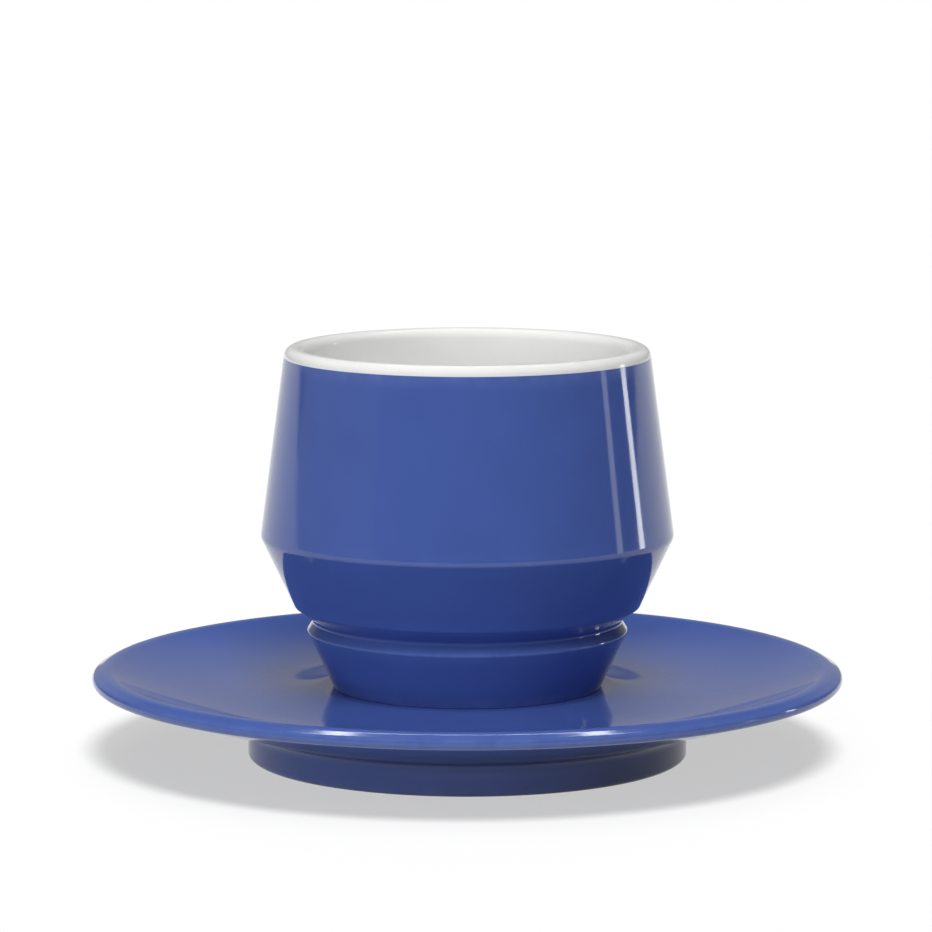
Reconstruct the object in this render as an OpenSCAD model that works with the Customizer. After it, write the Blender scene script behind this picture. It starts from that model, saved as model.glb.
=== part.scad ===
// Double-walled cappuccino cup on its saucer, glazed porcelain.
// Millimetres, +Z up, standing on z = 0 with both pieces on the Z axis.

/* [Saucer] */
// Outside diameter of the saucer
saucer_d = 160; // [155:1:175]
// Width of the rim outside its crown, the highest ring
rim_w = 3.1; // [2.9:0.1:4.5]
// Height of the crown above the table, before rounding
crown_h = 19.7; // [19:0.1:21]
// Rounding of the crown
crown_round = 3.2; // [1:0.1:3.4]
// How far the rim falls from the crown to its edge
rim_fall = 1.6; // [1:0.1:1.8]
// Thickness of the edge
edge_t = 1.7; // [1.5:0.1:2.2]
// Rounding of the edge, above and below
edge_round = 1.1; // [0.3:0.1:1.2]
// Diameter of the lowest ring of the dish
valley_d = 93; // [88:0.5:96]
// How far the dish lies below the seat of the cup
valley_drop = 1.4; // [0.8:0.1:1.8]
// Width of the flat seat that shows round the base of the cup
seat_margin = 2.9; // [1:0.1:5]
// Height of the seat above the table
seat_h = 15; // [14.5:0.1:16.5]
// Where the fall from the seat is steepest: early below 1, late above 1
seat_skew = 0.6; // [0.5:0.05:1]
// How late the dish rises to the rim: 1 is a straight rise
dish_power = 2.2; // [1.8:0.05:2.4]

/* [Saucer foot] */
// Outside diameter of the foot ring
foot_d = 93.8; // [80:0.2:104]
// Width of the foot ring
foot_w = 5; // [4:0.1:8]
// Height of the foot ring's outer wall
foot_h = 6.7; // [5.5:0.1:7.5]
// Rounding of the standing edges of the foot ring
foot_round = 1; // [0.3:0.1:1.6]
// Fillet between the foot ring and the underside
foot_fillet = 2.5; // [1:0.1:3.5]
// Thickness of the saucer under the seat
well_floor = 6; // [5:0.1:7]
// Fillet between the foot ring and the recess inside it
well_fillet = 3; // [1:0.1:4]

/* [Cup shell] */
// Diameter of the cup's base
base_d = 57; // [52:0.2:62]
// Rounding of the base's outer edge
base_round = 0.4; // [0.2:0.05:0.8]
// Diameter of the belly, the widest ring
belly_d = 88; // [86:0.2:96]
// Height of the belly above the base
belly_h = 32.5; // [30:0.5:38]
// Rounding of the belly
belly_round = 2.4; // [1:0.1:4]
// Diameter of the shell's top edge
mouth_d = 77.9; // [74:0.1:82]
// Height of the shell's top edge above the base
shell_h = 70.8; // [66:0.2:80]
// Width of the ledge at the top edge, where the lip of the liner sits
ledge_w = 2; // [1.6:0.1:2.4]
// Thickness of the shell's wall
shell_wall = 2.6; // [2:0.1:3.2]
// Fillet between the shell's wall and its floor, inside
shell_fillet = 2.6; // [1:0.1:4]

/* [Groove] */
// Height of the groove's bottom above the base
groove_h = 14.5; // [12:0.1:16]
// Depth of the groove
groove_depth = 2.65; // [1.5:0.05:3.2]
// Height of the flank above the groove's bottom
groove_above = 3; // [2.4:0.1:4]
// Height of the flank below the groove's bottom
groove_below = 2.4; // [2:0.1:3]
// Rounding of the groove's bottom
groove_round = 0.8; // [0.3:0.1:1]
// Rounding of the groove's upper edge
groove_top_round = 1.2; // [0.3:0.1:1.6]
// Rounding of the groove's lower edge
groove_low_round = 0.7; // [0.3:0.1:1]

/* [Cup base] */
// Width of the ring that the cup stands on
ring_w = 4; // [3:0.1:5]
// Depth of the recess inside that ring
recess_depth = 1.4; // [1.2:0.1:2]
// Fillet between the ring and the recess
recess_fillet = 0.7; // [0.3:0.1:1]
// Thickness of the shell's floor
floor_t = 2.6; // [2:0.1:3.2]
// Diameter of the vent hole in the floor
vent_d = 5; // [4:0.1:7]

/* [Cup liner] */
// Height of the lip above the shell
lip_h = 2.1; // [1.6:0.1:3]
// Width of the lip
lip_w = 4.5; // [4:0.1:5]
// Rounding of the lip, inside and outside
lip_round = 2; // [1:0.1:2.4]
// Height of the collar that centres the liner in the shell
collar_h = 4; // [3:0.5:6]
// Gap between the collar and the shell
collar_gap = 0.15; // [0.1:0.05:0.3]
// Thickness of the liner's wall
liner_wall = 2.4; // [2:0.1:2.8]
// Height of the air gap between the floors of the shell and the liner
air_gap = 3.2; // [2.6:0.1:5]
// Diameter of the flat part of the bowl's floor, before rounding
bowl_floor_d = 36; // [30:0.5:40]
// Rounding of the bowl's floor
bowl_floor_round = 14; // [8:0.5:16]
// Height of the bowl's shoulder above the base
shoulder_h = 34; // [30:0.5:38]
// How far the bowl's side draws in from the lip to the shoulder
shoulder_in = 0.45; // [0.1:0.05:1.5]
// Rounding of the bowl's shoulder
shoulder_round = 30; // [15:1:36]

/* [Vent plug] */
// How far the plug's head laps the floor round the vent hole
head_lap = 1.7; // [1.2:0.1:3]
// Thickness of the plug's head
head_t = 0.9; // [0.6:0.1:1]
// How far the plug's bulb laps the floor round the vent hole, inside the shell
bulb_lap = 0.7; // [0.4:0.1:1.2]
// Height of the plug's bulb
bulb_h = 1.6; // [1:0.1:2]
// Rounding of the plug's head and bulb
plug_round = 0.4; // [0.2:0.05:0.5]
// Gap between the plug's stem and the vent hole
plug_gap = 0.05; // [0.03:0.01:0.1]

/* [Hidden] */
$fn = 96;

// Angle between the points of a rounded corner
arc_step = 10;
// Steps along the fall from the seat and the rise to the rim
seat_steps = 12;
dish_steps = 12;
// Least flat that stays between two roundings
least_flat = 0.1;

blue_glaze = [0.24, 0.33, 0.6];
white_glaze = [0.93, 0.93, 0.92];
clear_silicone = [0.82, 0.83, 0.82];

base_r = base_d / 2;
belly_r = belly_d / 2;
mouth_r = mouth_d / 2;
ledge_r = mouth_r - ledge_w;
cone_slope = (belly_r - base_r) / belly_h;
groove_r = cone_r(groove_h) - groove_depth;
floor_h = recess_depth + floor_t;

// Outside radius of the lower cone, at a height above the base
function cone_r(h) = base_r + cone_slope * h;

// Radius that two roundings can share on a wall
function shared_round(r, wall) = min(r, (wall - least_flat) / 2);

function unit(v) = v / norm(v);

// Points of the arc of radius r that rounds the corner p between its neighbours a and b
function corner_arc(a, p, b, r) =
    let (
        u = unit(a - p),
        v = unit(b - p),
        half = acos(u * v) / 2,
        centre = p + unit(u + v) * r / sin(half),
        first = p + u * r / tan(half) - centre,
        start = atan2(first.y, first.x),
        side = u.x * v.y - u.y * v.x < 0 ? 1 : -1,
        sweep = side * (180 - 2 * half),
        steps = max(2, ceil(abs(sweep) / arc_step))
    )
    [
        for (i = [0 : steps])
            let (angle = start + sweep * i / steps)
            centre + r * [cos(angle), sin(angle)]
    ];

// Outline through points [radius, height, rounding]
function rounded(points) =
    let (
        count = len(points),
        flat = [for (p = points) [p.x, p.y]]
    )
    [
        for (i = [0 : count - 1])
            let (before = flat[(i + count - 1) % count], after = flat[(i + 1) % count])
            each points[i][2] > 0 ? corner_arc(before, flat[i], after, points[i][2]) : [flat[i]]
    ];

// Curve from p to q, level at both ends, with its steepest part shifted by skew
function wave(p, q, skew, steps) =
    [
        for (i = [1 : steps])
            let (t = i / steps, rise = (1 - cos(180 * pow(t, skew))) / 2)
            [p.x + (q.x - p.x) * t, p.y + (q.y - p.y) * rise, 0]
    ];

// Curve from p, level there, towards q, steeper with the power, without its last point
function climb(p, q, power, steps) =
    [
        for (i = [1 : steps - 1])
            let (t = i / steps)
            [p.x + (q.x - p.x) * t, p.y + (q.y - p.y) * pow(t, power), 0]
    ];

// Upper side of the saucer, from its axis out to its crown
function saucer_top() =
    let (
        seat = [base_r + seat_margin, seat_h],
        valley = [valley_d / 2, seat_h - valley_drop],
        crown = [saucer_d / 2 - rim_w, crown_h]
    )
    [
        [0, seat_h, 0],
        [seat.x, seat.y, 0],
        each wave(seat, valley, seat_skew, seat_steps),
        each climb(valley, crown, dish_power, dish_steps),
        [crown.x, crown.y, crown_round]
    ];

// Saucer: raised seat, shallow dish, rounded rim, conical underside and foot ring
module saucer() {
    edge_h = crown_h - rim_fall;
    edge_low = edge_h - edge_t;
    foot_r = foot_d / 2;
    fall_angle = atan2(rim_fall, rim_w);
    under_angle = atan2(edge_low - foot_h, saucer_d / 2 - foot_r);
    edge_share = tan(45 - fall_angle / 2) + tan(45 - under_angle / 2);
    edge_curve = min(edge_round, (edge_t - least_flat) / edge_share);
    well_r = foot_r - foot_w;
    well_h = seat_h - well_floor;
    color(blue_glaze)
        rotate_extrude()
            polygon(rounded([
                each saucer_top(),
                [saucer_d / 2, edge_h, edge_curve],
                [saucer_d / 2, edge_low, edge_curve],
                [foot_r, foot_h, foot_fillet],
                [foot_r, 0, foot_round],
                [well_r, 0, foot_round],
                [well_r, well_h, well_fillet],
                [0, well_h, 0]
            ]));
}

// Outer wall of the cup: two cones that meet at the belly, with a turned groove in the lower one
module cup_shell() {
    vent_r = vent_d / 2;
    recess_r = base_r - ring_w;
    groove_low = groove_h - groove_below;
    groove_top = groove_h + groove_above;
    inner_groove_r = groove_r - shell_wall;
    inner_floor_r = inner_groove_r - cone_slope * (groove_h - floor_h);
    color(blue_glaze)
        translate([0, 0, seat_h])
            rotate_extrude()
                polygon(rounded([
                    [vent_r, recess_depth, 0],
                    [recess_r, recess_depth, recess_fillet],
                    [recess_r, 0, 0],
                    [base_r, 0, base_round],
                    [cone_r(groove_low), groove_low, groove_low_round],
                    [groove_r, groove_h, groove_round],
                    [cone_r(groove_top), groove_top, groove_top_round],
                    [belly_r, belly_h, belly_round],
                    [mouth_r, shell_h, 0],
                    [ledge_r, shell_h, 0],
                    [belly_r - shell_wall, belly_h, belly_round],
                    [inner_groove_r, groove_h, groove_round],
                    [inner_floor_r, floor_h, shell_fillet],
                    [vent_r, floor_h, 0]
                ]));
}

// Inner wall of the cup: a white bowl that hangs in the shell on its thick rounded lip
module cup_liner() {
    lip_top = shell_h + lip_h;
    lip_r = mouth_r - lip_w;
    lip_curve = min(shared_round(lip_round, lip_w), lip_h - least_flat);
    collar_r = ledge_r - collar_gap;
    side_r = lip_r - shoulder_in;
    floor_r = bowl_floor_d / 2;
    bowl_low = floor_h + air_gap;
    bowl_floor = bowl_low + liner_wall;
    color(white_glaze)
        translate([0, 0, seat_h])
            rotate_extrude()
                polygon(rounded([
                    [0, bowl_low, 0],
                    [floor_r, bowl_low, bowl_floor_round],
                    [side_r + liner_wall, shoulder_h, shoulder_round],
                    [collar_r, shell_h - collar_h, 0],
                    [collar_r, shell_h, 0],
                    [mouth_r, shell_h, 0],
                    [mouth_r, lip_top, lip_curve],
                    [lip_r, lip_top, lip_curve],
                    [side_r, shoulder_h, shoulder_round],
                    [floor_r, bowl_floor, bowl_floor_round],
                    [0, bowl_floor, 0]
                ]));
}

// Silicone plug of the vent hole: a flat head in the recess, a stem and a bulb above the floor
module vent_plug() {
    stem_r = vent_d / 2 - plug_gap;
    head_r = vent_d / 2 + head_lap;
    bulb_r = vent_d / 2 + bulb_lap;
    head_low = recess_depth - head_t;
    bulb_top = floor_h + bulb_h;
    color(clear_silicone)
        translate([0, 0, seat_h])
            rotate_extrude()
                polygon(rounded([
                    [0, head_low, 0],
                    [head_r, head_low, plug_round],
                    [head_r, recess_depth, 0],
                    [stem_r, recess_depth, 0],
                    [stem_r, floor_h, 0],
                    [bulb_r, floor_h, 0],
                    [bulb_r, bulb_top, plug_round],
                    [0, bulb_top, 0]
                ]));
}

saucer();
cup_shell();
cup_liner();
vent_plug();
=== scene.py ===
import math

import bmesh
import bpy
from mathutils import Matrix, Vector


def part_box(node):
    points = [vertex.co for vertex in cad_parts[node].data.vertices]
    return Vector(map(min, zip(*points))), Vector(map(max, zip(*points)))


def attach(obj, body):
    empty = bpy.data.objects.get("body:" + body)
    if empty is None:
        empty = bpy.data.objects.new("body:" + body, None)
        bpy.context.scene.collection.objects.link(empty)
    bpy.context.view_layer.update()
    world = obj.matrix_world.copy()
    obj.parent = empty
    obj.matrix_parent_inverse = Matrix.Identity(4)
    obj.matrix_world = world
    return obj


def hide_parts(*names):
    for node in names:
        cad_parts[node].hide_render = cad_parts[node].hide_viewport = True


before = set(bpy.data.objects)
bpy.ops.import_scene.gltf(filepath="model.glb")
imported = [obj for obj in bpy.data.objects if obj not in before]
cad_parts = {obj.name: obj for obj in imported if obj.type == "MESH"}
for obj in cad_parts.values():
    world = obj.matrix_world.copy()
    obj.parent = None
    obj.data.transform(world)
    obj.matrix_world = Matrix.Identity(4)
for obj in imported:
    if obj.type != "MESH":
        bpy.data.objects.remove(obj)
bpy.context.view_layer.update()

# Sizes of the pieces in millimetres, as the CAD model has them
MM = 0.001
SEAT_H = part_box("cup_shell")[0].z / MM

SAUCER_D = 160
RIM_W = 3.1
CROWN_H = 19.7
CROWN_ROUND = 3.2
RIM_FALL = 1.6
EDGE_T = 1.7
EDGE_ROUND = 1.1
VALLEY_D = 93
VALLEY_DROP = 1.4
SEAT_MARGIN = 2.9
SEAT_SKEW = 0.6
DISH_POWER = 2.2
DISH_END = 11 / 12
FOOT_D = 93.8
FOOT_W = 5
FOOT_H = 6.7
FOOT_ROUND = 1
FOOT_FILLET = 2.5
WELL_FLOOR = 6
WELL_FILLET = 3

BASE_D = 57
BASE_ROUND = 0.4
BELLY_D = 88
BELLY_H = 32.5
BELLY_ROUND = 2.4
MOUTH_D = 77.9
SHELL_H = 70.8
LEDGE_W = 2
SHELL_WALL = 2.6
SHELL_FILLET = 2.6
GROOVE_H = 14.5
GROOVE_DEPTH = 2.65
GROOVE_ABOVE = 3
GROOVE_BELOW = 2.4
GROOVE_ROUND = 0.8
GROOVE_TOP_ROUND = 1.2
GROOVE_LOW_ROUND = 0.7
RING_W = 4
RECESS_DEPTH = 1.4
RECESS_FILLET = 0.7
FLOOR_T = 2.6
VENT_D = 5

LIP_H = 2.1
LIP_W = 4.5
LIP_ROUND = 2
COLLAR_H = 4
COLLAR_GAP = 0.15
LINER_WALL = 2.4
AIR_GAP = 3.2
BOWL_FLOOR_D = 36
BOWL_FLOOR_ROUND = 14
SHOULDER_H = 34
SHOULDER_IN = 0.45
SHOULDER_ROUND = 30

HEAD_LAP = 1.7
HEAD_T = 0.9
BULB_LAP = 0.7
BULB_H = 1.6
PLUG_ROUND = 0.4
PLUG_GAP = 0.05

# Colours, linear
BLUE = (0.066, 0.117, 0.395)
BLUE_THIN = (0.16, 0.24, 0.56)
WHITE = (0.91, 0.91, 0.9)
WHITE_THIN = (0.88, 0.87, 0.84)
BISQUE = (0.78, 0.76, 0.71)
SILICONE = (0.72, 0.73, 0.72)

# Glaze: scales of its noises per metre, then how far each of its traits goes
CLOUD_SCALE = 90
FLECK_SCALE = 2600
WEAR_SCALE = 260
GLOSS_SCALE = 140
SWELL_SCALE = 75
GRAIN_SCALE = 1400
BLUE_CLOUD = 0.025
WHITE_CLOUD = 0.01
FLECK_SHARE = 0.06
POOL_SHARE = 0.35
POOL_DARK = 0.72
WEAR_SHARE = (0.12, 0.4)
GLAZE_ROUGHNESS = (0.045, 0.085)
WEAR_ROUGHNESS = 0.12
GLAZE_IOR = 1.45

# Bare porcelain and silicone: scales of their noises per metre
SAND_SCALE = 1900
RUB_SCALE = 130
BLOOM_SCALE = 420
MOULD_SCALE = 1500

# Fineness of the turned meshes
SEGMENTS = 224
ARC_STEP = math.radians(4)
WAVE_STEPS = 28
LONGEST_RUN = 3.0
SUPPORT = 0.12
LEAST_ARC_STEPS = 3
SHARP_ANGLE = math.radians(35)
ON_AXIS = 1e-6

# Bare faces: reach in millimetres at a height and short of an edge, then limits for the face's normal
NEAR = 0.1
SHORT_OF = 0.01
STRAIGHT_DOWN = -0.98
SIDEWAYS = 0.1
LEVEL = 0.5

# Reach over which an outline's bend is measured, and the bend at which glaze runs thinnest
BEND_REACH = 0.5
FULL_BEND = 1.2

# Camera of the photograph: metres, degrees, and millimetres for lens and sensor
CAMERA_X = -0.00029
CAMERA_Y = -1.0199
CAMERA_Z = 0.20015
CAMERA_PITCH = 7.702
CAMERA_LENS = 186.93
CAMERA_SENSOR = 36

# Soft suns, unseen in reflections: azimuth, elevation and width in degrees, strength
SUNS = {
    "key": (6, 58, 20, 1.15),
    "front": (0, 30, 40, 0.55),
    "low": (-48, 3, 16, 0.95),
    "top": (0, 88, 60, 1.2),
    "back": (180, 50, 40, 0.4),
}

# Light boards, seen only in reflections: azimuth, elevation, distance, width, height in metres, radiance
BOARDS = {
    "strip_dim": (92, 4, 1.2, 0.09, 0.3, 2.2),
    "strip_bright": (111.5, 4, 1.2, 0.1, 0.3, 7.5),
    "strip_back": (180, 63, 1.6, 1.1, 0.06, 14.0),
}

# Room as lobes: azimuth, elevation, cosine where the lobe starts and where it is full, radiance
ROOM_LEAST = 0.06
ROOM = [
    (180, 5, 0.75, 0.97, 0.28),
    (-86, 0, 0.82, 0.87, 0.22),
]

# Height in metres that the lamps face and distance of the suns, then the floor's width, grey, glow and sun
OBJECT_MIDDLE = 0.05
SUN_DISTANCE = 2.0
FLOOR_SIZE = 60
FLOOR = 0.15
FLOOR_GLOW = 0.54
FLOOR_SUN = 7.8


def unit(v):
    return v / v.length


def corner_arc(before, corner, after, radius):
    """Points of the arc that rounds a corner between its neighbours."""
    u = unit(before - corner)
    v = unit(after - corner)
    half = math.acos(max(-1, min(1, u.dot(v)))) / 2
    centre = corner + unit(u + v) * radius / math.sin(half)
    first = corner + u * radius / math.tan(half) - centre
    start = math.atan2(first.y, first.x)
    side = 1 if u.x * v.y - u.y * v.x < 0 else -1
    sweep = side * (math.pi - 2 * half)
    steps = max(LEAST_ARC_STEPS, math.ceil(abs(sweep) / ARC_STEP))
    angles = [start + sweep * i / steps for i in range(steps + 1)]
    return [centre + radius * Vector((math.cos(a), math.sin(a))) for a in angles]


def rounded(points):
    """Outline through points (radius, height, rounding)."""
    flat = [Vector(p[:2]) for p in points]
    line = []
    for i, p in enumerate(points):
        if p[2] > 0:
            line += corner_arc(flat[i - 1], flat[i], flat[(i + 1) % len(flat)], p[2])
        else:
            line.append(flat[i])
    return line


def wave(p, q, skew):
    """Curve from p to q, level at both ends, with its steepest part shifted by skew."""
    line = []
    for i in range(1, WAVE_STEPS + 1):
        t = i / WAVE_STEPS
        rise = (1 - math.cos(math.pi * t ** skew)) / 2
        line.append((p[0] + (q[0] - p[0]) * t, p[1] + (q[1] - p[1]) * rise, 0))
    return line


def climb(p, q, power):
    """Curve from p, level there, that steepens towards q and ends at the straight run to q."""
    line = []
    for i in range(1, WAVE_STEPS + 1):
        t = DISH_END * i / WAVE_STEPS
        line.append((p[0] + (q[0] - p[0]) * t, p[1] + (q[1] - p[1]) * t ** power, 0))
    return line


def divided(line, closed):
    """The outline with its long runs divided, and with a short run at each end of a long one."""
    dense = []
    ends = zip(line, line[1:] + line[:1] if closed else line[1:])
    for p, q in ends:
        dense.append(p)
        run = q - p
        if run.length > 4 * SUPPORT:
            inner = max(1, math.ceil((run.length - 2 * SUPPORT) / LONGEST_RUN))
            share = SUPPORT / run.length
            dense += [p + run * (share + (1 - 2 * share) * i / inner) for i in range(inner + 1)]
    return dense if closed else dense + [line[-1]]


def bends(line):
    """How sharply the outline bends round each point, per millimetre: above 0 outwards, below 0 inwards."""
    count = len(line)
    area = sum(p.x * q.y - p.y * q.x for p, q in zip(line, line[1:] + line[:1]))
    turns = []
    for i, p in enumerate(line):
        u = p - line[i - 1]
        v = line[(i + 1) % count] - p
        bent = u.length * v.length > 0 and p.x > ON_AXIS
        turn = math.atan2(u.x * v.y - u.y * v.x, u.dot(v)) if bent else 0
        turns.append(math.copysign(1, area) * turn)
    near = [[j for j in range(count) if (line[j] - p).length < BEND_REACH] for p in line]
    return [sum(turns[j] for j in group) / (2 * BEND_REACH) for group in near]


def lathe(name, outline, bare, closed=False):
    """Mesh turned from an outline in millimetres. An open outline starts and ends on the axis.

    bare(radius, height, outward, upward) tells which faces have no glaze and take the second material.
    """
    line = divided(outline, closed)
    mesh = bmesh.new()
    thin = mesh.verts.layers.float.new("glaze_thin")
    pool = mesh.verts.layers.float.new("glaze_pool")
    rings = []
    for p, bend in zip(line, bends(line)):
        turn = [2 * math.pi * k / SEGMENTS for k in range(SEGMENTS if p.x > ON_AXIS else 1)]
        ring = [mesh.verts.new((p.x * MM * math.cos(a), p.x * MM * math.sin(a), p.y * MM)) for a in turn]
        for vert in ring:
            vert[thin] = max(0, min(1, bend / FULL_BEND))
            vert[pool] = max(0, min(1, -bend / FULL_BEND))
        rings.append(ring)
    pairs = list(zip(rings, rings[1:]))
    if closed:
        pairs.append((rings[-1], rings[0]))
    for low, high in pairs:
        for k in range(SEGMENTS):
            after = (k + 1) % SEGMENTS
            below = [low[k % len(low)], low[after % len(low)]]
            above = [high[after % len(high)], high[k % len(high)]]
            mesh.faces.new(list(dict.fromkeys(below + above)))
    bmesh.ops.recalc_face_normals(mesh, faces=mesh.faces)
    for face in mesh.faces:
        centre = face.calc_center_median() / MM
        away = Vector((centre.x, centre.y, 0)).normalized()
        face.material_index = int(bare(centre.xy.length, centre.z, face.normal.dot(away), face.normal.z))
    data = bpy.data.meshes.new(name)
    mesh.to_mesh(data)
    mesh.free()
    data.shade_smooth()
    data.set_sharp_from_angle(angle=SHARP_ANGLE)
    piece = bpy.data.objects.new(name, data)
    bpy.context.scene.collection.objects.link(piece)
    return piece


def at_cup(points):
    """Points of the cup, raised from its base to the seat."""
    return [(r, z + SEAT_H, rounding) for r, z, rounding in points]


def cone_r(height):
    """Outside radius of the cup's lower cone."""
    return BASE_D / 2 + (BELLY_D - BASE_D) / 2 / BELLY_H * height


def saucer_outline():
    seat = (BASE_D / 2 + SEAT_MARGIN, SEAT_H)
    valley = (VALLEY_D / 2, SEAT_H - VALLEY_DROP)
    crown = (SAUCER_D / 2 - RIM_W, CROWN_H)
    edge_h = CROWN_H - RIM_FALL
    foot_r = FOOT_D / 2
    well_h = SEAT_H - WELL_FLOOR
    return rounded([
        (0, SEAT_H, 0),
        (*seat, 0),
        *wave(seat, valley, SEAT_SKEW),
        *climb(valley, crown, DISH_POWER),
        (*crown, CROWN_ROUND),
        (SAUCER_D / 2, edge_h, EDGE_ROUND),
        (SAUCER_D / 2, edge_h - EDGE_T, EDGE_ROUND),
        (foot_r, FOOT_H, FOOT_FILLET),
        (foot_r, 0, FOOT_ROUND),
        (foot_r - FOOT_W, 0, FOOT_ROUND),
        (foot_r - FOOT_W, well_h, WELL_FILLET),
        (0, well_h, 0),
    ])


def shell_outline():
    slope = (BELLY_D - BASE_D) / 2 / BELLY_H
    floor_h = RECESS_DEPTH + FLOOR_T
    groove_r = cone_r(GROOVE_H) - GROOVE_DEPTH
    groove_low = GROOVE_H - GROOVE_BELOW
    groove_top = GROOVE_H + GROOVE_ABOVE
    inner_r = groove_r - SHELL_WALL
    recess_r = BASE_D / 2 - RING_W
    return rounded(at_cup([
        (VENT_D / 2, RECESS_DEPTH, 0),
        (recess_r, RECESS_DEPTH, RECESS_FILLET),
        (recess_r, 0, 0),
        (BASE_D / 2, 0, BASE_ROUND),
        (cone_r(groove_low), groove_low, GROOVE_LOW_ROUND),
        (groove_r, GROOVE_H, GROOVE_ROUND),
        (cone_r(groove_top), groove_top, GROOVE_TOP_ROUND),
        (BELLY_D / 2, BELLY_H, BELLY_ROUND),
        (MOUTH_D / 2, SHELL_H, 0),
        (MOUTH_D / 2 - LEDGE_W, SHELL_H, 0),
        (BELLY_D / 2 - SHELL_WALL, BELLY_H, BELLY_ROUND),
        (inner_r, GROOVE_H, GROOVE_ROUND),
        (inner_r - slope * (GROOVE_H - floor_h), floor_h, SHELL_FILLET),
        (VENT_D / 2, floor_h, 0),
    ]))


def liner_outline():
    lip_top = SHELL_H + LIP_H
    lip_r = MOUTH_D / 2 - LIP_W
    collar_r = MOUTH_D / 2 - LEDGE_W - COLLAR_GAP
    side_r = lip_r - SHOULDER_IN
    bowl_low = RECESS_DEPTH + FLOOR_T + AIR_GAP
    bowl_floor = bowl_low + LINER_WALL
    return rounded(at_cup([
        (0, bowl_low, 0),
        (BOWL_FLOOR_D / 2, bowl_low, BOWL_FLOOR_ROUND),
        (side_r + LINER_WALL, SHOULDER_H, SHOULDER_ROUND),
        (collar_r, SHELL_H - COLLAR_H, 0),
        (collar_r, SHELL_H, 0),
        (MOUTH_D / 2, SHELL_H, 0),
        (MOUTH_D / 2, lip_top, LIP_ROUND),
        (lip_r, lip_top, LIP_ROUND),
        (side_r, SHOULDER_H, SHOULDER_ROUND),
        (BOWL_FLOOR_D / 2, bowl_floor, BOWL_FLOOR_ROUND),
        (0, bowl_floor, 0),
    ]))


def plug_outline():
    floor_h = RECESS_DEPTH + FLOOR_T
    stem_r = VENT_D / 2 - PLUG_GAP
    head_r = VENT_D / 2 + HEAD_LAP
    bulb_r = VENT_D / 2 + BULB_LAP
    return rounded(at_cup([
        (0, RECESS_DEPTH - HEAD_T, 0),
        (head_r, RECESS_DEPTH - HEAD_T, PLUG_ROUND),
        (head_r, RECESS_DEPTH, 0),
        (stem_r, RECESS_DEPTH, 0),
        (stem_r, floor_h, 0),
        (bulb_r, floor_h, 0),
        (bulb_r, floor_h + BULB_H, PLUG_ROUND),
        (0, floor_h + BULB_H, 0),
    ]))


class Shading:
    """Short calls that add linked nodes to one material."""

    def __init__(self, name):
        self.material = bpy.data.materials.new(name)
        self.material.use_nodes = True
        self.nodes = self.material.node_tree.nodes
        self.links = self.material.node_tree.links
        self.shader = self.nodes["Principled BSDF"]
        self.place = self.nodes.new("ShaderNodeTexCoord").outputs["Object"]

    def set(self, node, socket, value):
        if isinstance(value, bpy.types.NodeSocket):
            self.links.new(value, node.inputs[socket])
        else:
            node.inputs[socket].default_value = value

    def noise(self, scale, detail=3.0, roughness=0.5):
        node = self.nodes.new("ShaderNodeTexNoise")
        self.set(node, "Vector", self.place)
        self.set(node, "Scale", scale)
        self.set(node, "Detail", detail)
        self.set(node, "Roughness", roughness)
        return node.outputs["Fac"]

    def span(self, value, start, end, low, high):
        node = self.nodes.new("ShaderNodeMapRange")
        sockets = ("Value", "From Min", "From Max", "To Min", "To Max")
        for socket, number in zip(sockets, (value, start, end, low, high)):
            self.set(node, socket, number)
        return node.outputs["Result"]

    def layer(self, name):
        node = self.nodes.new("ShaderNodeAttribute")
        node.attribute_name = name
        return node.outputs["Fac"]

    def math(self, operation, first, second):
        node = self.nodes.new("ShaderNodeMath")
        node.operation = operation
        self.set(node, 0, first)
        self.set(node, 1, second)
        return node.outputs[0]

    def mix(self, factor, first, second):
        node = self.nodes.new("ShaderNodeMix")
        node.data_type = "RGBA"
        self.set(node, 0, factor)
        self.set(node, 6, first)
        self.set(node, 7, second)
        return node.outputs[2]

    def bump(self, height, strength, distance, before=None):
        node = self.nodes.new("ShaderNodeBump")
        self.set(node, "Height", height)
        self.set(node, "Strength", strength)
        self.set(node, "Distance", distance)
        if before:
            self.set(node, "Normal", before)
        return node.outputs["Normal"]


def shade(colour, factor):
    return (*[c * factor for c in colour], 1)


def glaze(name, colour, thin_colour, cloudy):
    """Glossy glaze: cloudy, finely speckled, thin on edges and deeper where it pools."""
    s = Shading(name)
    clouds = s.span(s.noise(CLOUD_SCALE), 0.35, 0.65, 0, 1)
    cloud = s.mix(clouds, shade(colour, 1 - cloudy), shade(colour, 1 + cloudy))
    fleck = s.span(s.noise(FLECK_SCALE, 1.0), 0.66, 0.74, 0, FLECK_SHARE)
    flecked = s.mix(fleck, cloud, (*thin_colour, 1))
    pool = s.math("MULTIPLY", s.layer("glaze_pool"), POOL_SHARE)
    pooled = s.mix(pool, flecked, shade(colour, POOL_DARK))
    wear = s.math("MULTIPLY", s.layer("glaze_thin"), s.span(s.noise(WEAR_SCALE), 0.3, 0.7, *WEAR_SHARE))
    s.set(s.shader, "Base Color", s.mix(wear, pooled, (*thin_colour, 1)))
    gloss = s.span(s.noise(GLOSS_SCALE, 4.0), 0.3, 0.7, *GLAZE_ROUGHNESS)
    s.set(s.shader, "Roughness", s.math("ADD", gloss, s.math("MULTIPLY", wear, WEAR_ROUGHNESS)))
    s.set(s.shader, "IOR", GLAZE_IOR)
    swell = s.bump(s.noise(SWELL_SCALE, 2.0), 0.05, 0.0004)
    s.set(s.shader, "Normal", s.bump(s.noise(GRAIN_SCALE, 2.0), 0.012, 0.0001, swell))
    return s.material


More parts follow.
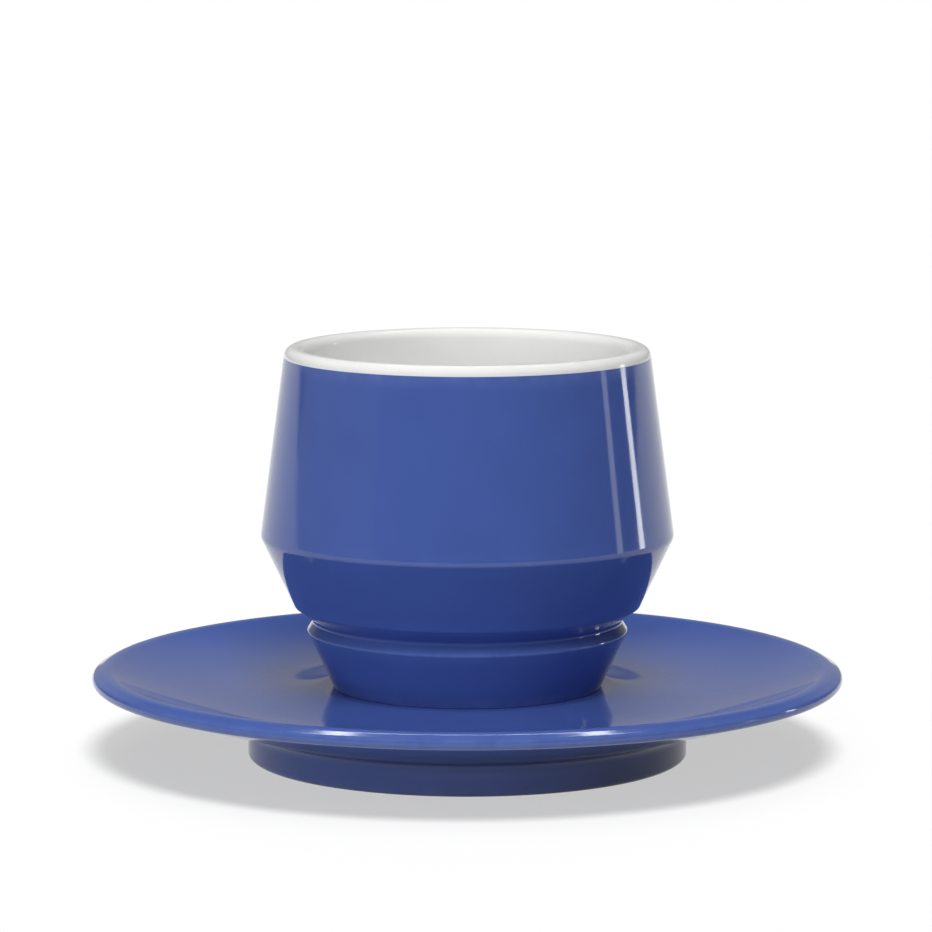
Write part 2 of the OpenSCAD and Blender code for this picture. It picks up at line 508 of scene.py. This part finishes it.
def bisque(name, colour):
    """Bare fired porcelain: matt, sandy, rubbed smoother and greyer in patches."""
    s = Shading(name)
    sand = s.noise(SAND_SCALE, 4.0, 0.6)
    rubbed = s.span(s.noise(RUB_SCALE), 0.4, 0.65, 0, 1)
    grain = s.mix(s.span(sand, 0.35, 0.65, 0, 1), shade(colour, 0.9), shade(colour, 1.05))
    s.set(s.shader, "Base Color", s.mix(s.math("MULTIPLY", rubbed, 0.3), grain, shade(colour, 0.8)))
    s.set(s.shader, "Roughness", s.span(rubbed, 0, 1, 0.72, 0.5))
    s.set(s.shader, "Normal", s.bump(sand, 0.25, 0.0001))
    return s.material


def silicone(name, colour):
    """Translucent moulded rubber with a dusty bloom."""
    s = Shading(name)
    bloom = s.span(s.noise(BLOOM_SCALE), 0.35, 0.65, 0, 1)
    s.set(s.shader, "Base Color", s.mix(bloom, shade(colour, 0.9), shade(colour, 1.05)))
    s.set(s.shader, "Roughness", s.span(bloom, 0, 1, 0.38, 0.56))
    s.set(s.shader, "Normal", s.bump(s.noise(MOULD_SCALE, 3.0), 0.08, 0.0001))
    s.set(s.shader, "Subsurface Weight", 0.4)
    s.set(s.shader, "Subsurface Scale", 0.002)
    return s.material


def bare_saucer(radius, height, outward, upward):
    """The standing face of the foot ring."""
    return upward < STRAIGHT_DOWN and height < NEAR


def bare_shell(radius, height, outward, upward):
    """The standing ring, and the sides of the air gap."""
    h = height - SEAT_H
    floor_h = RECESS_DEPTH + FLOOR_T
    standing = upward < STRAIGHT_DOWN and h < NEAR
    gap_side = h > floor_h - NEAR and outward < -SIDEWAYS
    gap_floor = abs(h - floor_h) < NEAR and upward > LEVEL
    return standing or gap_side or gap_floor


def bare_liner(radius, height, outward, upward):
    """The side of the air gap and the collar in the shell."""
    in_shell = height - SEAT_H < SHELL_H + NEAR and radius < MOUTH_D / 2 - SHORT_OF
    return in_shell and (outward > SIDEWAYS or upward < -LEVEL)


def bare_plug(radius, height, outward, upward):
    """The plug is one material all over."""
    return False


def make_pieces():
    blue = glaze("glaze_blue", BLUE, BLUE_THIN, BLUE_CLOUD)
    white = glaze("glaze_white", WHITE, WHITE_THIN, WHITE_CLOUD)
    bare = bisque("bisque_bare", BISQUE)
    rubber = silicone("silicone_clear", SILICONE)
    saucer = lathe("saucer_glazed", saucer_outline(), bare_saucer)
    shell = lathe("cup_shell_glazed", shell_outline(), bare_shell, closed=True)
    liner = lathe("cup_liner_glazed", liner_outline(), bare_liner)
    plug = lathe("vent_plug_moulded", plug_outline(), bare_plug)
    for piece, node, body, slot, materials in [
        (saucer, "saucer", "saucer", "blue_glaze", (blue, bare)),
        (shell, "cup_shell", "cup", "blue_glaze", (blue, bare)),
        (liner, "cup_liner", "cup", "white_glaze", (white, bare)),
        (plug, "vent_plug", "cup", "silicone", (rubber,)),
    ]:
        for material in materials:
            piece.data.materials.append(material)
        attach(piece, body)
        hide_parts(node)


def make_camera():
    data = bpy.data.cameras.new("photo_camera")
    data.lens = CAMERA_LENS
    data.sensor_width = CAMERA_SENSOR
    camera = bpy.data.objects.new("photo_camera", data)
    camera.location = (CAMERA_X, CAMERA_Y, CAMERA_Z)
    camera.rotation_euler = (math.radians(90 - CAMERA_PITCH), 0, 0)
    bpy.context.scene.collection.objects.link(camera)
    bpy.context.scene.camera = camera


def direction(azimuth, elevation):
    """Unit vector towards a place in degrees. Azimuth 0 is the camera's side, positive to the right."""
    a, e = math.radians(azimuth), math.radians(elevation)
    return Vector((math.sin(a) * math.cos(e), -math.cos(a) * math.cos(e), math.sin(e)))


def lamp(name, kind, azimuth, elevation, distance):
    """Lamp that faces the object."""
    light = bpy.data.objects.new(name, bpy.data.lights.new(name, kind))
    away = direction(azimuth, elevation)
    light.location = away * distance + Vector((0, 0, OBJECT_MIDDLE))
    light.rotation_euler = away.to_track_quat("Z", "Y").to_euler()
    bpy.context.scene.collection.objects.link(light)
    return light


def soft_sun(name, azimuth, elevation, width, strength):
    """Sun that lights the surfaces and stays unseen in reflections."""
    light = lamp(name, "SUN", azimuth, elevation, SUN_DISTANCE)
    light.data.angle = math.radians(width)
    light.data.energy = strength
    light.visible_glossy = False
    return light


def board(name, azimuth, elevation, distance, width, height, radiance):
    """Rectangular lamp of an even radiance that shows only in reflections."""
    light = lamp(name, "AREA", azimuth, elevation, distance)
    light.data.shape = "RECTANGLE"
    light.data.size, light.data.size_y = width, height
    light.data.energy = radiance * math.pi * width * height
    light.visible_diffuse = False


def make_lights():
    for name, values in SUNS.items():
        soft_sun(name, *values)
    for name, values in BOARDS.items():
        board(name, *values)


def make_world():
    """Grey room: paler behind the object and at its left than elsewhere."""
    world = bpy.data.worlds.new("studio")
    world.use_nodes = True
    nodes, links = world.node_tree.nodes, world.node_tree.links
    place = nodes.new("ShaderNodeTexCoord").outputs["Generated"]
    total = None
    for azimuth, elevation, start, end, radiance in ROOM:
        dot = nodes.new("ShaderNodeVectorMath")
        dot.operation = "DOT_PRODUCT"
        links.new(place, dot.inputs[0])
        dot.inputs[1].default_value = direction(azimuth, elevation)
        lobe = nodes.new("ShaderNodeMapRange")
        lobe.interpolation_type = "SMOOTHSTEP"
        links.new(dot.outputs["Value"], lobe.inputs["Value"])
        for socket, number in zip(("From Min", "From Max", "To Min", "To Max"), (start, end, 0, radiance)):
            lobe.inputs[socket].default_value = number
        add = nodes.new("ShaderNodeMath")
        add.operation = "ADD"
        links.new(lobe.outputs["Result"], add.inputs[0])
        if total:
            links.new(total, add.inputs[1])
        else:
            add.inputs[1].default_value = ROOM_LEAST
        total = add.outputs[0]
    links.new(total, nodes["Background"].inputs["Strength"])
    nodes["Background"].inputs["Color"].default_value = (1, 1, 1, 1)
    bpy.context.scene.world = world


def make_floor():
    """White floor: a glow that lights nothing, and a sun for the floor alone that casts the shadow."""
    bpy.ops.mesh.primitive_plane_add(size=FLOOR_SIZE)
    floor = bpy.context.object
    floor.name = "floor"
    material = bpy.data.materials.new("floor_white")
    material.use_nodes = True
    nodes, links = material.node_tree.nodes, material.node_tree.links
    shader = nodes["Principled BSDF"]
    shader.inputs["Base Color"].default_value = (FLOOR, FLOOR, FLOOR, 1)
    shader.inputs["Roughness"].default_value = 1
    shader.inputs["Specular IOR Level"].default_value = 0
    shader.inputs["Emission Color"].default_value = (1, 1, 1, 1)
    path = nodes.new("ShaderNodeLightPath")
    seen = path.outputs["Is Camera Ray"]
    for ray in ("Is Glossy Ray", "Is Transmission Ray"):
        either = nodes.new("ShaderNodeMath")
        either.operation = "MAXIMUM"
        links.new(seen, either.inputs[0])
        links.new(path.outputs[ray], either.inputs[1])
        seen = either.outputs[0]
    glow = nodes.new("ShaderNodeMath")
    glow.operation = "MULTIPLY"
    links.new(seen, glow.inputs[0])
    glow.inputs[1].default_value = FLOOR_GLOW
    links.new(glow.outputs[0], shader.inputs["Emission Strength"])
    floor.data.materials.append(material)
    azimuth, elevation, width = SUNS["key"][:3]
    sun = soft_sun("floor_sun", azimuth, elevation, width, FLOOR_SUN)
    sun.light_linking.receiver_collection = bpy.data.collections.new("lit_by_floor_sun")
    sun.light_linking.receiver_collection.objects.link(floor)


make_pieces()
make_camera()
make_lights()
make_world()
make_floor()

view = bpy.context.scene.view_settings
view.view_transform = "Standard"
bpy.context.scene.cycles.use_denoising = True
